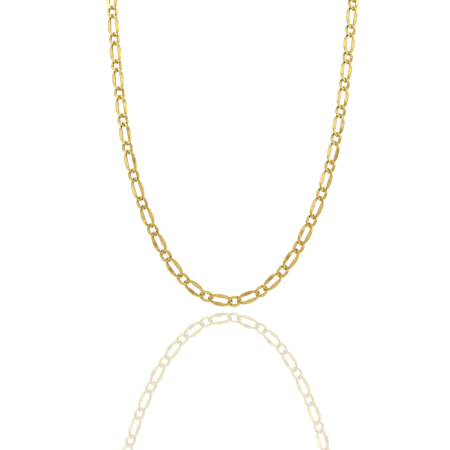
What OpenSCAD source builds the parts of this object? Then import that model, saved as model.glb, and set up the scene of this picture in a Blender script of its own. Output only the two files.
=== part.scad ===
// Flat chain necklace: long and short oval links in turn, each twisted so
// that the chain lies flat, closed at the nape by a plain clasp and two rings.
// Millimetres. +Z is up and the front faces -Y. The origin is the middle of
// the clasp's neck side, where the necklace hangs on the nape.

/* [Chain] */
// Number of long links, with as many short ones between them
pairs = 45; // [42:1:48]
// Width of the wire where two links hook into each other
wire_w = 1.04; // [1:0.01:1.06]
// Thickness of the wire there
wire_t = 0.91; // [0.86:0.01:0.92]
// Free play between two hooked wires
play = 0.2; // [0.18:0.01:0.24]
// Overall thickness of the chain, its front and back ground flat
chain_t = 1.7; // [1.6:0.05:2]
// How far the chain has slid round the neck, the clasp to the right
slide = 1.6; // [0:0.1:2]
// Share of the wire's width that is flat in front and at the back
flat_share = 0.44; // [0.4:0.01:0.46]

/* [Long link] */
// Outer length of a long link
long_l = 10.34; // [10.1:0.02:10.6]
// Outer width of a long link, across its swollen sides
long_w = 5.16; // [5.08:0.02:5.3]
// Width of its side wires at the middle
long_side = 1.66; // [1.5:0.02:1.7]
// Twist of its ends out of the chain's plane, in degrees
long_twist = 37; // [36:1:40]
// Squareness of its outline, 2 is an ellipse
long_square = 3; // [2.9:0.1:3.2]

/* [Short link] */
// Outer length of a short link
short_l = 6.06; // [6:0.02:6.5]
// Outer width of a short link
short_w = 4.6; // [4.54:0.02:4.7]
// Width of its side wires at the middle
short_side = 1.2; // [1.1:0.02:1.26]
// Twist of its ends out of the chain's plane, in degrees
short_twist = 43; // [42:1:46]
// Squareness of its outline, 2 is an ellipse
short_square = 3.2; // [3:0.1:3.4]

/* [Clasp] */
// Length of the clasp
clasp_l = 14; // [13:0.5:16]
// Width of the clasp at its round end
clasp_w = 6; // [5.8:0.1:6.6]
// Width of the clasp at its eye
clasp_eye_w = 4.4; // [4.3:0.1:4.6]
// Thickness of the clasp
clasp_t = 1.8; // [1.6:0.1:1.8]
// Wall around the clasp's eye and pocket
clasp_wall = 1; // [0.9:0.05:1]
// Diameter of a jump ring's middle line
ring_d = 4.2; // [4.2:0.1:4.6]
// Wire of a jump ring
ring_wire = 0.8; // [0.7:0.05:0.8]
// Turn of a jump ring out of the chain's plane, in degrees
ring_turn = 75; // [73:1:78]

/* [Hidden] */
gold = [0.86, 0.68, 0.32];

// A link type. Columns: half length and half width of the wire's middle line,
// twist, squareness, side width, number of sections around it.
LONG = [(long_l - wire_w) / 2, (long_w - long_side) / 2, long_twist, long_square, long_side, 16];
SHORT = [(short_l - wire_w) / 2, (short_w - short_side) / 2, short_twist, short_square, short_side, 12];
HALF_L = 0;
HALF_W = 1;
TWIST = 2;
SQUARE = 3;
SIDE = 4;
SECTIONS = 5;
// Corners of the six-sided wire
CORNERS = 6;
// How quickly the side wires swell towards their middle
swell = 12;

// Lengths along the chain
hook = wire_w + play;
long_span = 2 * LONG[HALF_L] - hook;
short_span = 2 * SHORT[HALF_L] - hook;
pair_span = long_span + short_span;
ring_back = wire_w / 2 + ring_reach(wire_t / 2) - hook / 2;
eye_seat = clasp_wall + ring_reach(clasp_t / 2);
clasp_span = 2 * (ring_d - ring_back - eye_seat) + clasp_l;
loop_l = pairs * pair_span + clasp_span;

// From a ring's outermost middle line to the face of a bar that hangs in it,
// for a bar of that half thickness
function ring_reach(half_t) = ring_d / 2 - sqrt(pow(ring_d / 2 - ring_wire / 2 - play, 2) - pow(half_t, 2));

// Half of the loop, from the lowest point of the front up to the nape.
// Columns: across, depth, height, turn of the flat face from the front.
HALF_LOOP = [
    [0, -108, -176.7, 0],
    [9.5, -108, -174.4, 1],
    [18.5, -107.9, -167.7, 2],
    [25.8, -107.7, -158.2, 3],
    [31.4, -107.4, -147.4, 4],
    [36, -106.6, -136.2, 5],
    [41.1, -104.4, -118.9, 7],
    [44.4, -100.6, -101.7, 9],
    [46.8, -95.9, -84.8, 11],
    [48.7, -91, -67.8, 14],
    [50.3, -85.7, -50.7, 23],
    [51.1, -74.4, -37, 46],
    [49.7, -53.6, -25.6, 80],
    [43.2, -32.2, -15, 111],
    [32.6, -14, -6.6, 139],
    [22, -3.3, -1.8, 162],
    [clasp_span / 2 + slide, clasp_t / 2, 0, 178],
    [0, clasp_t / 2, 0, 180]
];
// Steps of the smooth curve between two stations
STEPS = 8;

function unit(v) = v / norm(v);
function power(v, e) = sign(v) * pow(abs(v), e);
function place(p) = [p[0], p[1], p[2]];

// The whole loop: from the nape down the left side, along the front and back
// up the right side
LAST = len(HALF_LOOP) - 1;
LOOP = concat(
    [for (i = [LAST:-1:1]) let (p = HALF_LOOP[i]) [-p[0], p[1], p[2], -p[3]]],
    HALF_LOOP
);
COUNT = len(LOOP);

// Smooth curve through the stations, by steps between each two
function station(i) = i < 0 ? [-LOOP[-i][0], LOOP[-i][1], LOOP[-i][2], -360 - LOOP[-i][3]]
    : i >= COUNT ? let (p = LOOP[2 * COUNT - 2 - i]) [-p[0], p[1], p[2], 360 - p[3]]
    : LOOP[i];
function gap(i) = norm(place(station(i + 1)) - place(station(i)));
function slope(i) = let (before = gap(i - 1), after = gap(i))
    ((station(i) - station(i - 1)) * after / before
        + (station(i + 1) - station(i)) * before / after) / (before + after);
function between(i, u) = let (d = gap(i))
    (2 * u * u * u - 3 * u * u + 1) * station(i)
    + (u * u * u - 2 * u * u + u) * d * slope(i)
    + (3 * u * u - 2 * u * u * u) * station(i + 1)
    + (u * u * u - u * u) * d * slope(i + 1);
DRAWN = [
    for (i = [0:COUNT - 2])
        for (k = [0:STEPS - 1])
            between(i, k / STEPS),
    LOOP[COUNT - 1]
];
LENGTHS = [
    for (i = 0, s = 0; i < len(DRAWN);
        s = s + (i + 1 < len(DRAWN) ? norm(place(DRAWN[i + 1]) - place(DRAWN[i])) : 0), i = i + 1)
        s
];
drawn_l = LENGTHS[len(LENGTHS) - 1];
// The drawn curve is scaled a little so that the links just fill it
fit = loop_l / drawn_l;
ACROSS = 0;
DEPTH = 1;
HEIGHT = 2;
TURN = 3;
TABLES = [
    for (column = [ACROSS, DEPTH, HEIGHT, TURN])
        [for (i = [0:len(DRAWN) - 1]) [LENGTHS[i], DRAWN[i][column]]]
];
function along(s) = let (q = s / fit)
    [
        fit * lookup(q, TABLES[ACROSS]),
        fit * (lookup(q, TABLES[DEPTH]) - clasp_t / 2) + clasp_t / 2,
        fit * lookup(q, TABLES[HEIGHT])
    ];
function face_turn(s) = lookup(s / fit, TABLES[TURN]);

// A straight stretch of the chain between two places along the loop: its
// middle, its direction, the direction across it and the one its face looks in
function seat(from, to) = let (
        a = along(from),
        b = along(to),
        turn = face_turn((from + to) / 2),
        out = [sin(turn), -cos(turn), 0],
        t = unit(b - a),
        n = unit(out - (out * t) * t)
    ) [(a + b) / 2, t, cross(n, t), n];
function seated(f, p) = f[0] + p[0] * f[1] + p[1] * f[2] + p[2] * f[3];

// Middle line of a link's wire: a squared oval, twisted about its length
function middle(link, t) = let (
        x = link[HALF_L] * power(cos(t), 2 / link[SQUARE]),
        r = link[HALF_W] * power(sin(t), 2 / link[SQUARE]),
        twist = link[TWIST] * x / link[HALF_L]
    ) [x, r * cos(twist), -r * sin(twist)];

// Corners of the wire at one section, ground to the chain's thickness
function section(link, t) = let (
        tangent = unit(middle(link, t + 0.1) - middle(link, t - 0.1)),
        up = unit([0, 0, 1] - tangent[2] * tangent),
        across = cross(up, tangent),
        swollen = pow(abs(sin(t)), swell),
        w = wire_w + (link[SIDE] - wire_w) * swollen,
        c = middle(link, t)
    ) [
        for (k = [0:CORNERS - 1])
            let (
                side = [1, flat_share, -flat_share, -1, -flat_share, flat_share][k],
                face = [0, 1, 1, 0, -1, -1][k],
                p = c + side * w / 2 * across + face * wire_t / 2 * up
            ) [p[0], p[1], min(max(p[2], -chain_t / 2), chain_t / 2)]
    ];
function link_points(link) = [
    for (i = [0:link[SECTIONS] - 1])
        each section(link, 360 * i / link[SECTIONS])
];
function link_faces(link, first) = let (n = link[SECTIONS]) [
    for (i = [0:n - 1])
        for (k = [0:CORNERS - 1])
            let (
                a = first + i * CORNERS + k,
                b = first + i * CORNERS + (k + 1) % CORNERS,
                c = first + (i + 1) % n * CORNERS + (k + 1) % CORNERS,
                d = first + (i + 1) % n * CORNERS + k
            )
            each [[a, c, b], [a, d, c]]
];

// Every link of one type, each a closed loop of its own
module links(link, from) {
    points = link_points(link);
    seats = [
        for (i = [0:pairs - 1])
            let (s = clasp_span / 2 - slide + i * pair_span + from)
            seat(s, s + 2 * link[HALF_L] - hook)
    ];
    polyhedron(
        points = [for (f = seats) for (p = points) seated(f, p)],
        faces = [for (i = [0:pairs - 1]) each link_faces(link, i * len(points))]
    );
}

module long_links() {
    color(gold) links(LONG, 0);
}

module short_links() {
    color(gold) links(SHORT, long_span);
}

// A torus around Z
module ring() {
    rotate_extrude($fn = 48)
        translate([ring_d / 2, 0])
            circle(d = ring_wire, $fn = 24);
}

// The ring that hangs in the chain's end on one side of the clasp
module jump_ring(side) {
    x = slide + side * (clasp_span / 2 + ring_back - ring_d / 2);
    translate([x, clasp_t / 2, 0])
        rotate([90 - side * ring_turn, 0, 0])
            ring();
}

module jump_ring_left() {
    color(gold) jump_ring(-1);
}

module jump_ring_right() {
    color(gold) jump_ring(1);
}

// A flat bar around two circles on one line, with tangent sides
module drop(x1, r1, x2, r2, h) {
    lean = acos((r1 - r2) / (x2 - x1));
    translate([x1, 0, 0]) cylinder(r = r1, h = h, center = true, $fn = 48);
    translate([x2, 0, 0]) cylinder(r = r2, h = h, center = true, $fn = 48);
    linear_extrude(h, center = true)
        polygon([
            [x1 + r1 * cos(lean), r1 * sin(lean)],
            [x2 + r2 * cos(lean), r2 * sin(lean)],
            [x2 + r2 * cos(lean), -r2 * sin(lean)],
            [x1 + r1 * cos(lean), -r1 * sin(lean)]
        ]);
}

// A plain closed clasp: a drop with a pocket at its round end and an eye at
// the other
module clasp() {
    big = clasp_w / 2;
    small = clasp_eye_w / 2;
    x_big = -clasp_l / 2 + big;
    x_small = clasp_l / 2 - small;
    pocket = big - clasp_wall;
    // The pocket narrows towards the eye like the clasp itself
    pocket_end = 0.6 * pocket;
    eye = small - clasp_wall;
    through = 2 * clasp_t;
    color(gold)
        translate([slide, clasp_t / 2, 0])
            rotate([90, 0, 0])
                difference() {
                    drop(x_big, big, x_small, small, clasp_t);
                    drop(x_big, pocket, x_big + 2 * pocket, pocket_end, through);
                    translate([x_small, 0, 0]) cylinder(r = eye, h = through, center = true, $fn = 32);
                }
}

long_links();
short_links();
jump_ring_left();
jump_ring_right();
clasp();
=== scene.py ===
"""Flat chain necklace in polished yellow gold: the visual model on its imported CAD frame."""

import logging
import math
from collections.abc import Sequence
from dataclasses import dataclass
from enum import Enum

import bpy
from mathutils import Matrix, Vector


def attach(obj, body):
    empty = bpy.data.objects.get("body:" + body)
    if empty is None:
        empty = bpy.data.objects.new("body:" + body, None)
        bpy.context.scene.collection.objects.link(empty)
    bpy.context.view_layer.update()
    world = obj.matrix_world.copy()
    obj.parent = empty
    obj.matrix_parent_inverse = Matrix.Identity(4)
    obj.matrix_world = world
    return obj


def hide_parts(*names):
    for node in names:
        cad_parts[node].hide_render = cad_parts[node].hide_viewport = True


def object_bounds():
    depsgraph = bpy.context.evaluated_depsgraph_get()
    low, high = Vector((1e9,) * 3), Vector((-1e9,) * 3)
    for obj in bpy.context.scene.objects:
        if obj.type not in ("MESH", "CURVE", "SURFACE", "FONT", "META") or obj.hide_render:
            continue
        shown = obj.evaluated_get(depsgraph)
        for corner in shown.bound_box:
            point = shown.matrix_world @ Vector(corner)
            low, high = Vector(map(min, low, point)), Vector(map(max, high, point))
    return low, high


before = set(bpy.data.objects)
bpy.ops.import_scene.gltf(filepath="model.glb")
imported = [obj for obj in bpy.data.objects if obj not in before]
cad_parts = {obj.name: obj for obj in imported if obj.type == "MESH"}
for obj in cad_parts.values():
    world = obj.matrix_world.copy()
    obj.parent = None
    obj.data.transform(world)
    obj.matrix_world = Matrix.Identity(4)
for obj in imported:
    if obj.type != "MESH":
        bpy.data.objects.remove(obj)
CAD_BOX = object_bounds()

MM = 0.001  # metres
PICTURE = 450  # pixels across the photograph
DARK_SHARE = "painted_shade_and_tone"  # attribute: how much of the darker gold a point takes, as painted shade on the links and as an even deeper tone on the clasp and rings
log = logging.getLogger("necklace")


def srgb(hex_colour: str) -> tuple[float, float, float, float]:
    """Turns an sRGB colour into the linear values that shaders take.

    Args:
        hex_colour: six hex digits, such as "E9BE62".

    Returns:
        Linear red, green and blue, and an alpha of 1.
    """
    linear = []
    for start in (0, 2, 4):
        value = int(hex_colour[start:start + 2], 16) / 255
        linear.append(value / 12.92 if value <= 0.04045 else ((value + 0.055) / 1.055) ** 2.4)
    return (*linear, 1.0)


def add_node(
    tree: bpy.types.NodeTree,
    kind: str,
    settings: dict[str, object] | None = None,
    inputs: dict[str, object] | None = None,
) -> bpy.types.Node:
    """Adds one node with its settings, its values and what is linked into it.

    Args:
        tree: the node tree that gets the node.
        kind: the node's type name.
        settings: property names and their values.
        inputs: socket names, each with a value or with the output socket to link from.

    Returns:
        The new node.
    """
    node = tree.nodes.new(kind)
    for name, value in (settings or {}).items():
        setattr(node, name, value)
    for name, value in (inputs or {}).items():
        socket = next(s for s in node.inputs if s.enabled and name in (s.name, s.identifier))
        if isinstance(value, bpy.types.NodeSocket):
            tree.links.new(value, socket)
        else:
            socket.default_value = value
    return node


def in_use(node: bpy.types.Node) -> bpy.types.NodeSocket:
    """The output that a node's settings leave in use."""
    return next(socket for socket in node.outputs if socket.enabled)


def mesh_object(
    name: str,
    points: Sequence[Vector],
    faces: Sequence[Sequence[int]],
) -> bpy.types.Object:
    """Makes a smooth mesh object at the origin from points and faces.

    Args:
        name: the object's and the mesh's name.
        points: corner points in metres.
        faces: corner numbers of each face, anticlockwise from outside.

    Returns:
        The linked object.
    """
    mesh = bpy.data.meshes.new(name)
    mesh.from_pydata([tuple(p) for p in points], [], faces)
    mesh.validate()
    mesh.shade_smooth()
    made = bpy.data.objects.new(name, mesh)
    bpy.context.scene.collection.objects.link(made)
    return made


def plain_mesh(source: bpy.types.Object, name: str) -> bpy.types.Object:
    """Turns a curve or an object with live modifiers into a plain mesh and removes the source.

    Args:
        source: the object to evaluate.
        name: the new object's name.

    Returns:
        The plain mesh object, at the origin with its place in its mesh.
    """
    graph = bpy.context.evaluated_depsgraph_get()
    mesh = bpy.data.meshes.new_from_object(source.evaluated_get(graph), depsgraph=graph)
    mesh.transform(source.matrix_world)
    mesh.name = name
    bpy.data.objects.remove(source)
    made = bpy.data.objects.new(name, mesh)
    bpy.context.scene.collection.objects.link(made)
    return made


class Polish(Enum):
    """How a gold surface was finished, as the roughness that is left on it."""

    TUMBLED = 0.13
    BUFFED = 0.1


@dataclass(frozen=True)
class YellowGold:
    """14 karat yellow gold, a warm metal whose highlights stay yellow.

    Attributes:
        name: the material's name.
        polish: how the surface was finished.
        colour: the paler colour of the clean metal.
        deep: its colour in the patches that handling has dulled a little.
        wire: a darker gold, painted as shade on the links' rounded flanks and hooked ends, where
            the dark outlines and junctions fall, and laid evenly on the clasp and rings as a deeper
            tone.
        mark_mm: length of the faint marks that polishing leaves, drawn coarse enough to show.
        mark_depth_mm: their depth.
        patch_rate: how many dulled patches there are to one polishing mark, along a line.
    """

    name: str
    polish: Polish
    colour: str = "F2D68A"
    deep: str = "E8C672"
    wire: str = "C8AB50"
    mark_mm: float = 0.35
    mark_depth_mm: float = 0.004
    patch_rate: float = 0.12

    def material(self) -> bpy.types.Material:
        """Builds the gold's shader.

        Returns:
            The material, with its pattern on object coordinates.
        """
        made = bpy.data.materials.new(self.name)
        made.use_nodes = True
        tree = made.node_tree
        shader = tree.nodes["Principled BSDF"]
        place = add_node(tree, "ShaderNodeTexCoord").outputs["Object"]
        marks = add_node(tree, "ShaderNodeTexNoise", {}, {
            "Vector": place,
            "Scale": 1 / (self.mark_mm * MM),
            "Detail": 3.0,
            "Roughness": 0.55,
        }).outputs["Fac"]
        patches = add_node(tree, "ShaderNodeTexNoise", {}, {
            "Vector": place,
            "Scale": self.patch_rate / (self.mark_mm * MM),
            "Detail": 2.0,
            "Roughness": 0.5,
        }).outputs["Fac"]
        rough = self.polish.value
        roughness = add_node(tree, "ShaderNodeMapRange", {}, {
            "Value": marks,
            "From Min": 0.3,
            "From Max": 0.7,
            "To Min": 0.8 * rough,
            "To Max": 1.25 * rough,
        }).outputs["Result"]
        clean = add_node(tree, "ShaderNodeMix", {"data_type": "RGBA"}, {
            "Factor": patches, "A": srgb(self.deep), "B": srgb(self.colour),
        })
        # Painted shade: the darker gold goes on the links' rounded flanks and hooked ends, drawing
        # the dark outlines and junctions; the clasp and rings take it evenly as a deeper tone.
        painted_shade_and_tone = add_node(tree, "ShaderNodeAttribute", {"attribute_name": DARK_SHARE})
        tint = add_node(tree, "ShaderNodeMix", {"data_type": "RGBA"}, {
            "Factor": painted_shade_and_tone.outputs["Fac"], "A": in_use(clean), "B": srgb(self.wire),
        })
        bump = add_node(tree, "ShaderNodeBump", {}, {
            "Height": marks, "Strength": 0.5, "Distance": self.mark_depth_mm * MM,
        }).outputs["Normal"]
        tree.links.new(in_use(tint), shader.inputs["Base Color"])
        tree.links.new(roughness, shader.inputs["Roughness"])
        tree.links.new(bump, shader.inputs["Normal"])
        shader.inputs["Metallic"].default_value = 1.0
        return made


def mark_dark_share(mesh: bpy.types.Mesh, shares: Sequence[float]) -> None:
    """Writes on each point of a mesh how much of the darker gold it takes, 0 to 1: painted shade on
    the links, an even deeper tone on the clasp and rings.
    """
    mesh.attributes.new(DARK_SHARE, "FLOAT", "POINT").data.foreach_set("value", shares)


def face_outwards(mesh: bpy.types.Mesh) -> None:
    """Turns a closed mesh's faces outwards, if they point inwards.

    Args:
        mesh: the closed mesh.
    """
    mesh.calc_loop_triangles()
    spot = [vertex.co for vertex in mesh.vertices]
    corners = (triangle.vertices for triangle in mesh.loop_triangles)
    if sum(spot[a].dot(spot[b].cross(spot[c])) for a, b, c in corners) < 0:
        mesh.flip_normals()


def triangles(made: bpy.types.Object) -> int:
    """How many triangles an object's mesh has."""
    made.data.calc_loop_triangles()
    return len(made.data.loop_triangles)


@dataclass(frozen=True)
class Station:
    """A place that the loop passes through, in millimetres, and the turn of its face in degrees."""

    across: float
    depth: float
    height: float
    turn: float

    def mirrored(self) -> "Station":
        """The same station on the loop's other side."""
        return Station(-self.across, self.depth, self.height, -self.turn)

    def row(self) -> tuple[float, float, float, float]:
        """The station's four numbers."""
        return (self.across, self.depth, self.height, self.turn)


@dataclass(frozen=True)
class LinkShape:
    """One kind of link: a squared oval of wire whose ends are twisted out of its plane.

    The quarter of each end that lies in front slants towards the side wire, so that two hooked
    links show a pair of slanting bars.

    Attributes:
        name: what the link is called.
        length: outer length in millimetres.
        width: outer width across its sides.
        side: width of its side wires at the middle.
        twist: twist of its ends in degrees.
        tip_twist: how much further the very tips are twisted.
        square: squareness of its outline, 2 is an ellipse.
        sections: sections round the loop.
        crown: thickness of the side wires before their faces were pressed flat.
        wire_w: width of the wire where links hook together.
        wire_t: thickness of the wire there.
        slant: rise of the front quarters per millimetre along the link.
        lead: how far before the tip that slope starts, which rounds the tip.
        ease: how slowly the twist sets in, so that the middles of the sides lie flat.
        polished: how much of the pressed faces of the sides keeps the clean colour, 0 to 1; the
            rest takes painted shade.
        flat: overall thickness, its front and back ground flat.
        swell: how quickly the side wires swell towards their middle.
        arc: points on each of the wire's four rounded flanks.
    """

    BLEND = 5  # how tightly the slanting front quarter turns into the side
    NUDGE = 0.002  # radians to either side of a section that give its direction
    LEAST_CROWN = 0.004  # millimetres that the flanks always stand over the pressed faces
    SOFT_EDGE = 0.05  # millimetres over which polishing rounded the edge of a ground face
    ON_FACE = 0.001  # millimetres within which a point lies on a pressed face
    NEARLY_CUT = 0.02  # millimetres under the ground face within which points keep its clean colour, free of painted shade
    SHARP = 30  # degrees between faces that show as an edge

    name: str
    length: float
    width: float
    side: float
    twist: float
    tip_twist: float
    square: float
    sections: int
    crown: float
    wire_w: float = 1.01
    wire_t: float = 0.885
    slant: float = 1.5
    lead: float = 0.15
    ease: float = 1.4
    polished: float = 1.0
    flat: float = 1.655
    swell: float = 8.0
    arc: int = 3

    @property
    def half_length(self) -> float:
        """Half length of the wire's middle line."""
        return (self.length - self.wire_w) / 2

    @property
    def half_width(self) -> float:
        """Half width of the wire's middle line."""
        return (self.width - self.side) / 2

    def middle(self, angle: float) -> Vector:
        """A point of the wire's middle line.

        Args:
            angle: how far round the loop, in radians.

        Returns:
            The point, x along the link and z out of its face.
        """
        def power(value: float) -> float:
            """The value to the outline's power, with its sign."""
            return math.copysign(abs(value) ** (2 / self.square), value)

        x = power(math.cos(angle))
        r = self.half_width * power(math.sin(angle))
        if x * r < 0:
            rise = self.slant * ((1 - abs(x)) * self.half_length + self.lead)
            blended = (abs(r) ** -self.BLEND + rise ** -self.BLEND) ** (-1 / self.BLEND)
            r = math.copysign(blended, r)
        twist = self.twist * abs(x) ** self.ease + self.tip_twist * x ** 4
        turn = math.radians(math.copysign(twist, x))
        return Vector((self.half_length * x, r * math.cos(turn), -r * math.sin(turn)))

    def profile(self, swollen: float) -> list[tuple[float, float]]:
        """The wire's outline at one section: rounded flanks between two pressed faces.

        Args:
            swollen: 0 where links hook together, 1 at the middle of a side.

        Returns:
            Pairs of across and up, in millimetres, anticlockwise.
        """
        pressed = self.wire_t / 2
        half_w = self.wire_w / 2 + (self.side - self.wire_w) / 2 * swollen
        round_t = pressed + max(self.LEAST_CROWN, (self.crown / 2 - pressed) * swollen)
        edge = math.asin(pressed / round_t)
        flank = [edge * k / self.arc for k in range(self.arc + 1)]
        upper = [(half_w * math.cos(a), round_t * math.sin(a)) for a in flank]
        upper += [(0.0, pressed)] + [(-x, y) for x, y in reversed(upper)]
        return upper + [(x, -y) for x, y in reversed(upper[1:-1])]

    def ground(self, height: float) -> float:
        """A height after both faces were ground, with the edge that polishing rounds.

        Args:
            height: millimetres from the chain's middle plane.

        Returns:
            The height that is left.
        """
        limit, soft = self.flat / 2, self.SOFT_EDGE
        over = (abs(height) - limit + soft) / (2 * soft)
        if over <= 0:
            return height
        kept = limit - soft + (soft if over >= 1 else 2 * soft * (over - over * over / 2))
        return math.copysign(min(kept, limit), height)

    def build(self) -> bpy.types.Object:
        """Builds one link around the origin.

        Returns:
            The link's mesh object.
        """
        points: list[Vector] = []
        shade_shares: list[float] = []
        step = 2 * math.pi / self.sections
        for i in range(self.sections):
            angle = i * step
            ahead, behind = self.middle(angle + self.NUDGE), self.middle(angle - self.NUDGE)
            tangent = (ahead - behind).normalized()
            up = (Vector((0, 0, 1)) - tangent.z * tangent).normalized()
            across = up.cross(tangent)
            centre = self.middle(angle)
            swollen = abs(math.sin(angle)) ** self.swell
            for side, face in self.profile(swollen):
                p = centre + side * across + face * up
                points.append(Vector((p.x, p.y, self.ground(p.z))) * MM)
                # Painted shade: the ground faces keep the clean colour, the pressed faces of the
                # sides keep less of it towards their ends, and the rounded flanks and hooked ends
                # take the darker gold that draws the outlines and junctions.
                pressed = abs(face) > self.wire_t / 2 - self.ON_FACE
                cut = abs(p.z) > self.flat / 2 - self.NEARLY_CUT
                clean_colour_share = 1.0 if cut else self.polished * swollen if pressed else 0.0
                shade_shares.append(1 - clean_colour_share)
        count = len(points) // self.sections
        faces = []
        for i in range(self.sections):
            here, there = i * count, (i + 1) % self.sections * count
            for k in range(count):
                after = (k + 1) % count
                faces.append((here + k, here + after, there + after, there + k))
        made = mesh_object(self.name, points, faces)
        mark_dark_share(made.data, shade_shares)
        face_outwards(made.data)
        made.data.set_sharp_from_angle(angle=math.radians(self.SHARP))
        return made


@dataclass(frozen=True)
class Clasp:
    """The plain closed clasp and its two jump rings, in millimetres.

    Attributes:
        length: length of the clasp.
        width: its width round the pocket.
        eye_width: its width round the eye.
        thickness: thickness of its bar.
        wall: width of the bar round the pocket and the eye.
        ring_d: diameter of a ring's middle line.
        ring_wire: thickness of a ring's wire.
        ring_turn: how far a ring is turned out of the chain's face, in degrees.
        hook_w: width of the chain's wire that a ring hooks round.
        hook_t: thickness of that wire.
        play: gap between pieces that hook together.
        slide: how far along the loop the clasp sits off the middle of the nape.
        rounding: radius of the clasp's rounded edges.
    """

    ARC = 40  # points on each end of a drop
    CIRCLE = 48  # points round the eye
    RING_SECTIONS = 60
    RING_SIDES = 18
    SEAM = 1.2  # degrees that the cut ends of a ring leave open
    SEAM_WIRE = 0.86  # thickness of the filed cut ends against the wire's
    SHARP = 35  # degrees between faces that show as an edge
    RING_SHARP = 40
    ROUNDNESS = 0.3  # share of the darker gold that the buffed bar takes evenly, a deeper tone
    RING_ROUNDNESS = 0.8

    length: float = 14.0
    width: float = 5.99
    eye_width: float = 4.4
    thickness: float = 1.8
    wall: float = 1.0
    ring_d: float = 4.2
    ring_wire: float = 0.79
    ring_turn: float = 75.0
    hook_w: float = 1.04
    hook_t: float = 0.91
    play: float = 0.2
    slide: float = 1.6
    rounding: float = 0.32

    def ring_reach(self, half_t: float) -> float:
        """From a ring's outermost middle line to a bar of that half thickness that hangs in it."""
        inner = self.ring_d / 2 - self.ring_wire / 2 - self.play
        return self.ring_d / 2 - math.sqrt(inner ** 2 - half_t ** 2)

    @property
    def ring_back(self) -> float:
        """How far a ring's outermost middle line lies beyond the chain's end."""
        return self.hook_w / 2 + self.ring_reach(self.hook_t / 2) - (self.hook_w + self.play) / 2

    @property
    def span(self) -> float:
        """The stretch of the loop that the clasp and its rings take."""
        seat = self.wall + self.ring_reach(self.thickness / 2)
        return 2 * (self.ring_d - self.ring_back - seat) + self.length

    def drop(self, x1: float, r1: float, x2: float, r2: float) -> list[tuple[float, float]]:
        """A drop: two circles on one line with tangent sides.

        Args:
            x1: place of the first circle.
            r1: its radius.
            x2: place of the second circle.
            r2: its radius.

        Returns:
            The outline's points, anticlockwise.
        """
        lean = math.acos((r1 - r2) / (x2 - x1))
        arcs = []
        for x, r, low, high in ((x2, r2, -lean, lean), (x1, r1, lean, 2 * math.pi - lean)):
            for k in range(self.ARC):
                a = low + (high - low) * k / (self.ARC - 1)
                arcs.append((x + r * math.cos(a), r * math.sin(a)))
        return arcs

    def build(self, gold: bpy.types.Material) -> bpy.types.Object:
        """Builds the clasp, standing in the chain's plane at the nape.

        Args:
            gold: its material.

        Returns:
            The clasp, which stands for its CAD node.
        """
        big, small = self.width / 2, self.eye_width / 2
        x_big, x_small = big - self.length / 2, self.length / 2 - small
        pocket, eye = big - self.wall, small - self.wall
        turns = (math.tau * k / self.CIRCLE for k in range(self.CIRCLE))
        shape = bpy.data.curves.new("clasp_outline", "CURVE")
        shape.dimensions, shape.fill_mode = "2D", "BOTH"
        shape.bevel_depth = self.rounding * MM
        shape.bevel_resolution = 3
        shape.offset = -self.rounding * MM
        shape.extrude = (self.thickness / 2 - self.rounding) * MM
        for line in (
            self.drop(x_big, big, x_small, small),
            self.drop(x_big, pocket, x_big + 2 * pocket, 0.6 * pocket),
            [(x_small + eye * math.cos(a), eye * math.sin(a)) for a in turns],
        ):
            spline = shape.splines.new("POLY")
            spline.points.add(len(line) - 1)
            spline.use_cyclic_u = True
            for point, (x, y) in zip(spline.points, line):
                point.co = (x * MM, y * MM, 0, 1)
        drawn = bpy.data.objects.new("clasp_outline", shape)
        bpy.context.scene.collection.objects.link(drawn)
        made = plain_mesh(drawn, "clasp_gold")
        self.seat(made, self.slide, Matrix.Rotation(math.radians(90), 4, "X"))
        made.data.shade_smooth()
        made.data.set_sharp_from_angle(angle=math.radians(self.SHARP))
        mark_dark_share(made.data, [self.ROUNDNESS] * len(made.data.vertices))
        made.data.materials.clear()
        made.data.materials.append(gold)
        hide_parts("clasp")
        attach(made, "root")
        return made

    def seat(self, made: bpy.types.Object, along: float, turn: Matrix) -> None:
        """Turns a mesh that was made round the origin and moves it to its place at the nape.

        Args:
            made: the clasp or a ring.
            along: its place along the loop, in millimetres.
            turn: its rotation.
        """
        place = Vector((along, self.thickness / 2, 0)) * MM
        made.data.transform(Matrix.Translation(place) @ turn)

    def build_ring(self, side: int, gold: bpy.types.Material) -> bpy.types.Object:
        """Builds one jump ring of round wire, its cut ends closed against each other.

        Args:
            side: -1 for the left ring, 1 for the right one.
            gold: its material.

        Returns:
            The ring, which stands for its CAD node.
        """
        name = "jump_ring_left" if side < 0 else "jump_ring_right"
        around, corners, seam = self.RING_SECTIONS, self.RING_SIDES, math.radians(self.SEAM)
        points, faces = [], []
        for i in range(around + 1):
            turn = seam / 2 + (math.tau - seam) * i / around
            wire = self.ring_wire / 2 * (self.SEAM_WIRE if i in (0, around) else 1)
            for k in range(corners):
                a = math.tau * k / corners
                r = self.ring_d / 2 + wire * math.cos(a)
                x, y, z = r * math.cos(turn), r * math.sin(turn), wire * math.sin(a)
                points.append(Vector((x, y, z)) * MM)
        for i in range(around):
            for k in range(corners):
                a, b = i * corners + k, i * corners + (k + 1) % corners
                faces.append((a, a + corners, b + corners, b))
        faces.append(tuple(range(corners)))
        faces.append(tuple(reversed(range(around * corners, (around + 1) * corners))))
        made = mesh_object(name + "_gold", points, faces)
        face_outwards(made.data)
        made.data.set_sharp_from_angle(angle=math.radians(self.RING_SHARP))
        mark_dark_share(made.data, [self.RING_ROUNDNESS] * len(points))
        x = self.slide + side * (self.span / 2 + self.ring_back - self.ring_d / 2)
        tilt = Matrix.Rotation(math.radians(90 - side * self.ring_turn), 4, "X")
        self.seat(made, x, tilt @ Matrix.Rotation(math.radians(90), 4, "Z"))
        made.data.materials.append(gold)
        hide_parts(name)
        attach(made, "root")
        return made


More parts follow.
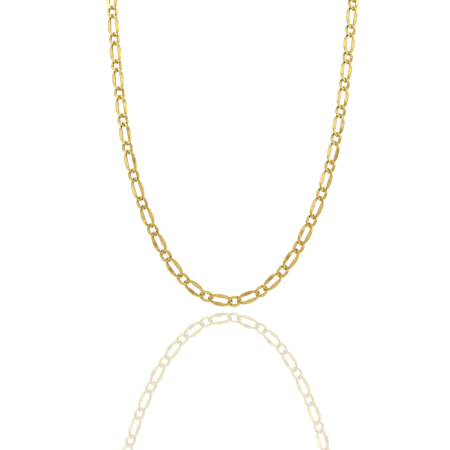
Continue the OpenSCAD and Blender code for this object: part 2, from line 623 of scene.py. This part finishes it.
class LoopRoute:
    """The line that the chain's middle follows, from the nape round the front and back."""

    HALF = (
        Station(0, -108, -176.6, 0),
        Station(9.5, -108, -174.4, 1),
        Station(18.5, -107.9, -167.7, 2),
        Station(25.8, -107.7, -158.2, 3),
        Station(31.4, -107.4, -147.4, 4),
        Station(36, -106.6, -136.2, 5),
        Station(41.1, -104.4, -118.9, 7),
        Station(44.4, -100.6, -101.7, 9),
        Station(46.8, -95.9, -84.8, 11),
        Station(48.7, -91, -67.8, 14),
        Station(50.25, -85.7, -50.7, 23),
        Station(50.94, -74.4, -37, 46),
        Station(49.7, -53.6, -25.6, 80),
        Station(43.2, -32.2, -15, 111),
        Station(32.6, -14, -6.6, 139),
        Station(22, -3.3, -1.8, 162),
    )
    STEPS = 8  # points drawn from one station to the next

    def __init__(self, length: float, clasp: Clasp) -> None:
        """Draws the loop through its stations and scales it to its length.

        Args:
            length: the loop's length in millimetres.
            clasp: the clasp that closes it at the nape.
        """
        back = clasp.thickness / 2
        end = Station(clasp.span / 2 + clasp.slide, back, 0, 178)
        half = [*self.HALF, end, Station(0, back, 0, 180)]
        whole = [s.mirrored() for s in reversed(half[1:])] + half
        self.rows = [Vector(s.row()) for s in whole]
        drawn = []
        for i in range(len(self.rows) - 1):
            drawn += [self.between(i, k / self.STEPS) for k in range(self.STEPS)]
        drawn.append(self.rows[-1])
        lengths = [0.0]
        for a, b in zip(drawn, drawn[1:]):
            lengths.append(lengths[-1] + (b.xyz - a.xyz).length)
        fit = length / lengths[-1]
        turns = [math.radians(p.w) for p in drawn]
        self.points = [Vector((fit * p.x, fit * (p.y - back) + back, fit * p.z)) for p in drawn]
        self.faces = [Vector((math.sin(turn), -math.cos(turn), 0)) for turn in turns]
        self.fit = fit

    def station(self, i: int) -> Vector:
        """A station by number, also past either end, where the loop goes on as its mirror image.

        Args:
            i: the station's number, from -1 to one past the last.

        Returns:
            Its place and the turn of its face.
        """
        last = len(self.rows) - 1
        if 0 <= i <= last:
            return self.rows[i]
        p = self.rows[-i] if i < 0 else self.rows[2 * last - i]
        return Vector((-p.x, p.y, p.z, (-360 if i < 0 else 360) - p.w))

    def gap(self, i: int) -> float:
        """The distance from one station to the next."""
        return (self.station(i + 1).xyz - self.station(i).xyz).length

    def slope(self, i: int) -> Vector:
        """How the loop runs through a station.

        Args:
            i: the station's number.

        Returns:
            The change of place and turn per millimetre.
        """
        before, after = self.gap(i - 1), self.gap(i)
        here = self.station(i)
        return ((here - self.station(i - 1)) * after / before
                + (self.station(i + 1) - here) * before / after) / (before + after)

    def between(self, i: int, u: float) -> Vector:
        """A point of the smooth curve from one station to the next.

        Args:
            i: the first station's number.
            u: how far on the point lies, 0 to 1.

        Returns:
            Its place and the turn of its face.
        """
        d = self.gap(i)
        return ((2 * u ** 3 - 3 * u ** 2 + 1) * self.station(i)
                + (u ** 3 - 2 * u ** 2 + u) * d * self.slope(i)
                + (3 * u ** 2 - 2 * u ** 3) * self.station(i + 1)
                + (u ** 3 - u ** 2) * d * self.slope(i + 1))

    def line(self, name: str) -> bpy.types.Object:
        """Draws the route as a line of points that know which way the chain faces.

        Args:
            name: the object's name.

        Returns:
            A mesh object of edges with the attribute face.
        """
        mesh = bpy.data.meshes.new(name)
        count = len(self.points)
        edges = [(i, i + 1) for i in range(count - 1)]
        mesh.from_pydata([tuple(p * MM) for p in self.points], edges, [])
        face = mesh.attributes.new("face", "FLOAT_VECTOR", "POINT")
        for item, value in zip(face.data, self.faces):
            item.vector = value
        made = bpy.data.objects.new(name, mesh)
        bpy.context.scene.collection.objects.link(made)
        return made


class LinkTree:
    """The Geometry Nodes tree that seats one kind of link along a route."""

    INPUTS = (
        ("Link", "NodeSocketObject"),
        ("Links", "NodeSocketInt"),
        ("First seat", "NodeSocketFloat"),
        ("Pitch", "NodeSocketFloat"),
        ("Span", "NodeSocketFloat"),
        ("Loose roll", "NodeSocketFloat"),
        ("Loose turn", "NodeSocketFloat"),
        ("Seed", "NodeSocketInt"),
        ("Gold", "NodeSocketMaterial"),
    )

    def __init__(self) -> None:
        """Builds the tree with its named inputs."""
        tree = bpy.data.node_groups.new("Links along a route", "GeometryNodeTree")
        face = tree.interface
        face.new_socket("Geometry", in_out="INPUT", socket_type="NodeSocketGeometry")
        for name, kind in self.INPUTS:
            face.new_socket(name, in_out="INPUT", socket_type=kind)
        face.new_socket("Geometry", in_out="OUTPUT", socket_type="NodeSocketGeometry")
        given = tree.nodes.new("NodeGroupInput").outputs
        route = add_node(tree, "GeometryNodeMeshToCurve", {}, {
            "Mesh": given["Geometry"],
        }).outputs["Curve"]
        index = add_node(tree, "GeometryNodeInputIndex").outputs["Index"]
        start = add_node(tree, "ShaderNodeMath", {"operation": "MULTIPLY_ADD"}, {
            "Value": index, "Value_001": given["Pitch"], "Value_002": given["First seat"],
        }).outputs["Value"]
        half = add_node(tree, "ShaderNodeMath", {"operation": "MULTIPLY_ADD"}, {
            "Value": given["Span"], "Value_001": 0.5, "Value_002": start,
        }).outputs["Value"]
        end = add_node(tree, "ShaderNodeMath", {"operation": "ADD"}, {
            "Value": start, "Value_001": given["Span"],
        }).outputs["Value"]
        vectors = {"data_type": "FLOAT_VECTOR"}
        looks = add_node(tree, "GeometryNodeInputNamedAttribute", vectors, {"Name": "face"})
        a, b, middle = (
            add_node(tree, "GeometryNodeSampleCurve", {"mode": "LENGTH", **vectors}, {
                "Curves": route, "Length": length, "Value": looks.outputs["Attribute"],
            })
            for length in (start, end, half)
        )
        along = add_node(tree, "ShaderNodeVectorMath", {"operation": "SUBTRACT"}, {
            "Vector": b.outputs["Position"], "Vector_001": a.outputs["Position"],
        }).outputs["Vector"]
        seat = add_node(tree, "ShaderNodeMix", {"data_type": "VECTOR"}, {
            "Factor": 0.5, "A": a.outputs["Position"], "B": b.outputs["Position"],
        })
        axes = {"primary_axis": "X", "secondary_axis": "Z"}
        turned = add_node(tree, "FunctionNodeAxesToRotation", axes, {
            "Primary Axis": along, "Secondary Axis": middle.outputs["Value"],
        }).outputs["Rotation"]
        most = add_node(tree, "ShaderNodeCombineXYZ", {}, {
            "X": given["Loose roll"], "Y": given["Loose turn"], "Z": given["Loose turn"],
        }).outputs["Vector"]
        least = add_node(tree, "ShaderNodeVectorMath", {"operation": "SCALE"}, {
            "Vector": most, "Scale": -1.0,
        }).outputs["Vector"]
        loose = add_node(tree, "FunctionNodeRandomValue", vectors, {
            "Min": least, "Max": most, "Seed": given["Seed"],
        }).outputs["Value"]
        shaken = add_node(tree, "FunctionNodeEulerToRotation", {}, {
            "Euler": loose,
        }).outputs["Rotation"]
        settled = add_node(tree, "FunctionNodeRotateRotation", {"rotation_space": "LOCAL"}, {
            "Rotation": turned, "Rotate By": shaken,
        }).outputs["Rotation"]
        seats = add_node(tree, "GeometryNodePoints", {}, {
            "Count": given["Links"], "Position": in_use(seat),
        }).outputs["Points"]
        link = add_node(tree, "GeometryNodeObjectInfo", {}, {
            "Object": given["Link"],
        }).outputs["Geometry"]
        placed = add_node(tree, "GeometryNodeInstanceOnPoints", {}, {
            "Points": seats, "Instance": link, "Rotation": settled,
        }).outputs["Instances"]
        whole = add_node(tree, "GeometryNodeRealizeInstances", {}, {
            "Geometry": placed,
        }).outputs["Geometry"]
        dressed = add_node(tree, "GeometryNodeSetMaterial", {}, {
            "Geometry": whole, "Material": given["Gold"],
        }).outputs["Geometry"]
        add_node(tree, "NodeGroupOutput", {}, {"Geometry": dressed})
        self.tree = tree

    def run(
        self,
        route: bpy.types.Object,
        values: dict[str, object],
        name: str,
    ) -> bpy.types.Object:
        """Seats links along a route and returns them as one plain mesh.

        Args:
            route: the line that they follow.
            values: the tree's inputs by name.
            name: the new piece's name.

        Returns:
            The plain mesh object.
        """
        modifier = route.modifiers.new("Links", "NODES")
        modifier.node_group = self.tree
        for item in self.tree.interface.items_tree:
            if item.in_out == "INPUT" and item.name in values:
                modifier[item.identifier] = values[item.name]
        return plain_mesh(route, name)


@dataclass
class FlatChain:
    """The run of long and short links between the two jump rings.

    Attributes:
        long: the long link.
        short: the short link.
        clasp: the clasp that the chain ends at.
        pairs: how many links of each kind.
        long_span: how far one long link carries the chain on, in millimetres.
        short_span: how far one short link does.
        loose_roll: how far a link may roll about its length, in degrees.
        loose_turn: how far it may turn the other two ways, in degrees.
    """

    SEED = 11  # of how loosely the long links lie, the short ones take the next

    long: LinkShape
    short: LinkShape
    clasp: Clasp
    pairs: int = 45
    long_span: float = 8.06
    short_span: float = 3.78
    loose_roll: float = 0.5
    loose_turn: float = 0.15

    @property
    def pitch(self) -> float:
        """The length of one long and one short link in the chain."""
        return self.long_span + self.short_span

    @property
    def loop_length(self) -> float:
        """The length of the whole closed loop."""
        return self.pairs * self.pitch + self.clasp.span

    def build(self, gold: bpy.types.Material) -> list[bpy.types.Object]:
        """Builds both kinds of link along the loop.

        Args:
            gold: the links' material.

        Returns:
            The two pieces, which stand for their CAD nodes.
        """
        route = LoopRoute(self.loop_length, self.clasp)
        log.info("loop of %.1f mm, drawn curve scaled by %.4f", self.loop_length, route.fit)
        tree = LinkTree()
        begin = self.clasp.span / 2 - self.clasp.slide
        pieces = []
        for kind, (link, node, start, span) in enumerate((
            (self.long, "long_links", begin, self.long_span),
            (self.short, "short_links", begin + self.long_span, self.short_span),
        )):
            pattern = link.build()
            made = tree.run(route.line(node + "_route"), {
                "Link": pattern,
                "Links": self.pairs,
                "First seat": start * MM,
                "Pitch": self.pitch * MM,
                "Span": span * MM,
                "Loose roll": math.radians(self.loose_roll),
                "Loose turn": math.radians(self.loose_turn),
                "Seed": self.SEED + kind,
                "Gold": gold,
            }, node + "_gold")
            bpy.data.objects.remove(pattern)
            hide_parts(node)
            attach(made, "root")
            pieces.append(made)
        return pieces


@dataclass(frozen=True)
class SoftBox:
    """One soft light: its place from what it faces and its size in metres, and its watts."""

    name: str
    place: tuple[float, float, float]
    size: tuple[float, float]
    power: float
    colour: str = "FFFFFF"

    def build(self, target: Vector) -> bpy.types.Object:
        """Sets up the light.

        Args:
            target: the point that it faces.

        Returns:
            The light's object.
        """
        lamp = bpy.data.lights.new(self.name, "AREA")
        lamp.shape = "RECTANGLE"
        lamp.size, lamp.size_y = self.size
        lamp.energy = self.power
        lamp.color = srgb(self.colour)[:3]
        made = bpy.data.objects.new(self.name, lamp)
        made.location = target + Vector(self.place)
        made.rotation_euler = (-Vector(self.place)).to_track_quat("-Z", "Y").to_euler()
        bpy.context.scene.collection.objects.link(made)
        return made


@dataclass(frozen=True)
class Panel:
    """A part of the light tent that is brighter or darker than the rest.

    Attributes:
        azimuth: its direction in degrees, 0 on the camera's side and 90 to the right.
        elevation: its height over the horizon in degrees.
        radius: how far it reaches round that direction, in degrees.
        edge: width of its soft edge in degrees.
        strength: its radiance.
        tint: its colour.
    """

    azimuth: float
    elevation: float
    radius: float
    edge: float
    strength: float
    tint: str = "FFFFFF"

    @property
    def direction(self) -> Vector:
        """The unit vector that points at its middle."""
        a, e = math.radians(self.azimuth), math.radians(self.elevation)
        return Vector((math.sin(a) * math.cos(e), -math.cos(a) * math.cos(e), math.sin(e)))

    @property
    def light(self) -> tuple[float, float, float, float]:
        """Its radiance in red, green and blue."""
        red, green, blue, alpha = srgb(self.tint)
        return (self.strength * red, self.strength * green, self.strength * blue, alpha)


@dataclass(frozen=True)
class Studio:
    """The pale floor, the soft light and the camera at the photograph's viewing angle.

    Attributes:
        floor_z: height of the floor in millimetres, just under the hanging chain.
        floor_half: half the floor's length and width in metres.
        eye: where the middle of the picture lies in the plane of the front, in millimetres.
        front: depth of that plane.
        distance: from the camera to it.
        pixel: size of one of the photograph's pixels in it.
        roll: how far the camera is rolled, in degrees.
        boxes: the soft lights.
        exposure: how many stops brighter the picture is taken.
        tent: radiance of the white tent round the set.
        panels: the parts of it that differ.
    """

    FILM = 36.0  # millimetres across the camera's film
    LACQUER = 0.54  # share of the floor's light that its lacquer mirrors

    floor_z: float = -179.7
    floor_half: float = 12.0
    eye: tuple[float, float] = (-1.87, -145.36)
    front: float = -108.0
    distance: float = 1000.0
    pixel: float = 0.4065
    roll: float = 0.706
    boxes: tuple[SoftBox, ...] = (
        SoftBox("top_key", (0.05, -0.45, 1.1), (0.6, 0.6), 1.6, "EAF3FF"),
        SoftBox("left_fill", (-1.0, -0.1, 0.75), (0.7, 0.7), 1.3, "E6F0FF"),
        SoftBox("right_fill", (1.05, -0.5, 0.22), (0.6, 0.6), 1.7, "E6F0FF"),
    )
    exposure: float = 0.6
    tent: float = 0.40
    panels: tuple[Panel, ...] = (
        Panel(0.0, 90.0, 34.0, 10.0, 0.90),
        Panel(-50.0, 22.0, 32.0, 7.0, 0.80, "F0F7FF"),
        Panel(50.0, 22.0, 32.0, 7.0, 0.80, "F0F7FF"),
        Panel(0.0, 2.0, 21.0, 6.0, 0.34, "FFEAB2"),
        Panel(180.0, 0.0, 14.0, 4.0, 0.74),
    )

    def build_floor(self) -> bpy.types.Object:
        """Lays the floor: pale, smooth and a little glossy, so that it mirrors the chain faintly.

        Returns:
            The floor.
        """
        half, z = self.floor_half, self.floor_z * MM
        corners = ((-half, -half), (half, -half), (half, half), (-half, half))
        floor = mesh_object("floor", [Vector((x, y, z)) for x, y in corners], [(0, 1, 2, 3)])
        # Lacquered board: its diffuse white closes the picture without a horizon, and its clear
        # lacquer gives the eye the faint, sharp mirror image below the chain.
        made = bpy.data.materials.new("White lacquered board")
        made.use_nodes = True
        tree = made.node_tree
        out = tree.nodes["Material Output"]
        tree.nodes.remove(tree.nodes["Principled BSDF"])
        matt = add_node(tree, "ShaderNodeBsdfDiffuse", {}, {
            "Color": srgb("FAFAF4"),
        }).outputs["BSDF"]
        gloss = add_node(tree, "ShaderNodeBsdfGlossy", {}, {
            "Color": srgb("FFFFFF"), "Roughness": 0.015,
        }).outputs["BSDF"]
        both = add_node(tree, "ShaderNodeMixShader", {}, {
            "Fac": self.LACQUER, "Shader": matt, "Shader_001": gloss,
        }).outputs["Shader"]
        tree.links.new(both, out.inputs["Surface"])
        floor.data.materials.append(made)
        return floor

    def build_sky(self) -> None:
        """Surrounds the set with a white tent, whose panels differ a little from the rest."""
        world = bpy.data.worlds.new("White tent")
        world.use_nodes = True
        tree = world.node_tree
        looks = add_node(tree, "ShaderNodeTexCoord").outputs["Generated"]
        light: bpy.types.NodeSocket | tuple[float, ...] = (self.tent, self.tent, self.tent, 1.0)
        for panel in self.panels:
            facing = add_node(tree, "ShaderNodeVectorMath", {"operation": "DOT_PRODUCT"}, {
                "Vector": looks, "Vector_001": panel.direction,
            }).outputs["Value"]
            inside = add_node(tree, "ShaderNodeMapRange", {"interpolation_type": "SMOOTHSTEP"}, {
                "Value": facing,
                "From Min": math.cos(math.radians(panel.radius + panel.edge)),
                "From Max": math.cos(math.radians(panel.radius - panel.edge)),
            }).outputs["Result"]
            light = in_use(add_node(tree, "ShaderNodeMix", {"data_type": "RGBA"}, {
                "Factor": inside, "A": light, "B": panel.light,
            }))
        tree.links.new(light, tree.nodes["Background"].inputs["Color"])
        bpy.context.scene.world = world

    def build_camera(self) -> bpy.types.Object:
        """Places the camera where the photograph was taken from.

        Returns:
            The camera.
        """
        lens = bpy.data.cameras.new("camera")
        lens.sensor_width = self.FILM
        lens.lens = self.FILM * self.distance / (PICTURE * self.pixel)
        lens.clip_end = 100.0
        made = bpy.data.objects.new("camera", lens)
        made.location = Vector((self.eye[0], self.front - self.distance, self.eye[1])) * MM
        upright = Matrix.Rotation(math.radians(90), 3, "X")
        turn = upright @ Matrix.Rotation(math.radians(self.roll), 3, "Z")
        made.rotation_euler = turn.to_euler()
        bpy.context.scene.collection.objects.link(made)
        bpy.context.scene.camera = made
        return made

    def build(self, target: Vector) -> None:
        """Sets up the floor, the light and the camera.

        Args:
            target: what the lights face.
        """
        self.build_floor()
        self.build_sky()
        for box in self.boxes:
            box.build(target)
        self.build_camera()
        view = bpy.context.scene.view_settings
        view.view_transform, view.exposure = "Standard", self.exposure


def main() -> None:
    """Builds the necklace piece by piece, then the studio."""
    logging.basicConfig(level=logging.INFO, format="%(name)s: %(message)s")
    # 14 karat gold off the tumbler: clean ground faces and slightly soft reflections, with a darker
    # gold painted on the rounded flanks and hooked ends as shade, which draws the dark outlines and
    # junctions of the chain.
    link_gold = YellowGold("14 karat yellow gold, tumbled", Polish.TUMBLED).material()
    # The same gold buffed by hand: the clasp and the rings reflect more sharply.
    clasp_gold = YellowGold("14 karat yellow gold, buffed", Polish.BUFFED).material()
    clasp = Clasp()
    chain = FlatChain(
        long=LinkShape(
            "long_link", length=10.24, width=4.98, side=1.64, twist=33, tip_twist=12,
            square=2.85, sections=64, crown=1.25,
        ),
        short=LinkShape(
            "short_link", length=5.96, width=4.58, side=1.28, twist=39, tip_twist=10,
            # the short links' sides keep less of the clean colour, so painted shade darkens them
            # more than the long links' sides
            square=2.9, sections=48, crown=1.15, polished=0.3,
        ),
        clasp=clasp,
    )
    pieces = chain.build(link_gold)
    pieces += [clasp.build_ring(side, clasp_gold) for side in (-1, 1)]
    pieces.append(clasp.build(clasp_gold))
    for piece in pieces:
        log.info("%s: %d triangles", piece.name, triangles(piece))
    Studio().build(sum(CAD_BOX, Vector()) / 2)


if __name__ == "__main__":
    main()
